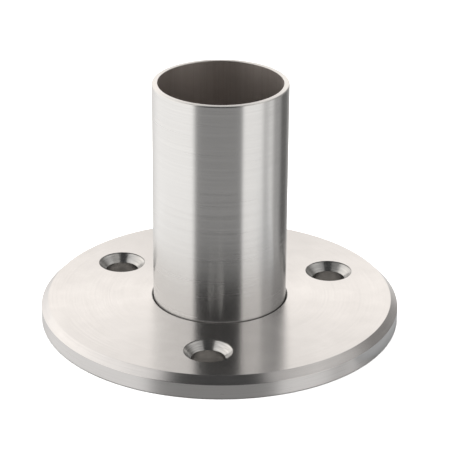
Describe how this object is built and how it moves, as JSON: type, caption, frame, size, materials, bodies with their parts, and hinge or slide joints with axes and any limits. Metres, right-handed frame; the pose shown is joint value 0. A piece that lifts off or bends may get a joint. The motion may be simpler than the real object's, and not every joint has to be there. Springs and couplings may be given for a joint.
{
  "type": "floor anchor plate",
  "caption": "Round stainless floor plate with countersunk bolt holes and a short welded tube stub that holds a post or handrail upright.",
  "frame": {"origin": "centre of the plate's underside, on the tube's axis", "axes": "+Z along the tube, away from the floor; one bolt hole lies on the -Y side"},
  "size_m": [0.13, 0.13, 0.09],
  "materials": {
    "turned_stainless": "austenitic stainless steel, faced on a lathe and lightly ground to satin",
    "polished_tube": "drawn stainless tube, polished round with a fine belt",
    "weld_metal": "stainless weld, pickled to a dull grey"
  },
  "bodies": {
    "root": {"base_plate": "turned_stainless", "post_tube": "polished_tube", "weld_bead": "weld_metal"}
  },
  "joints": []
}
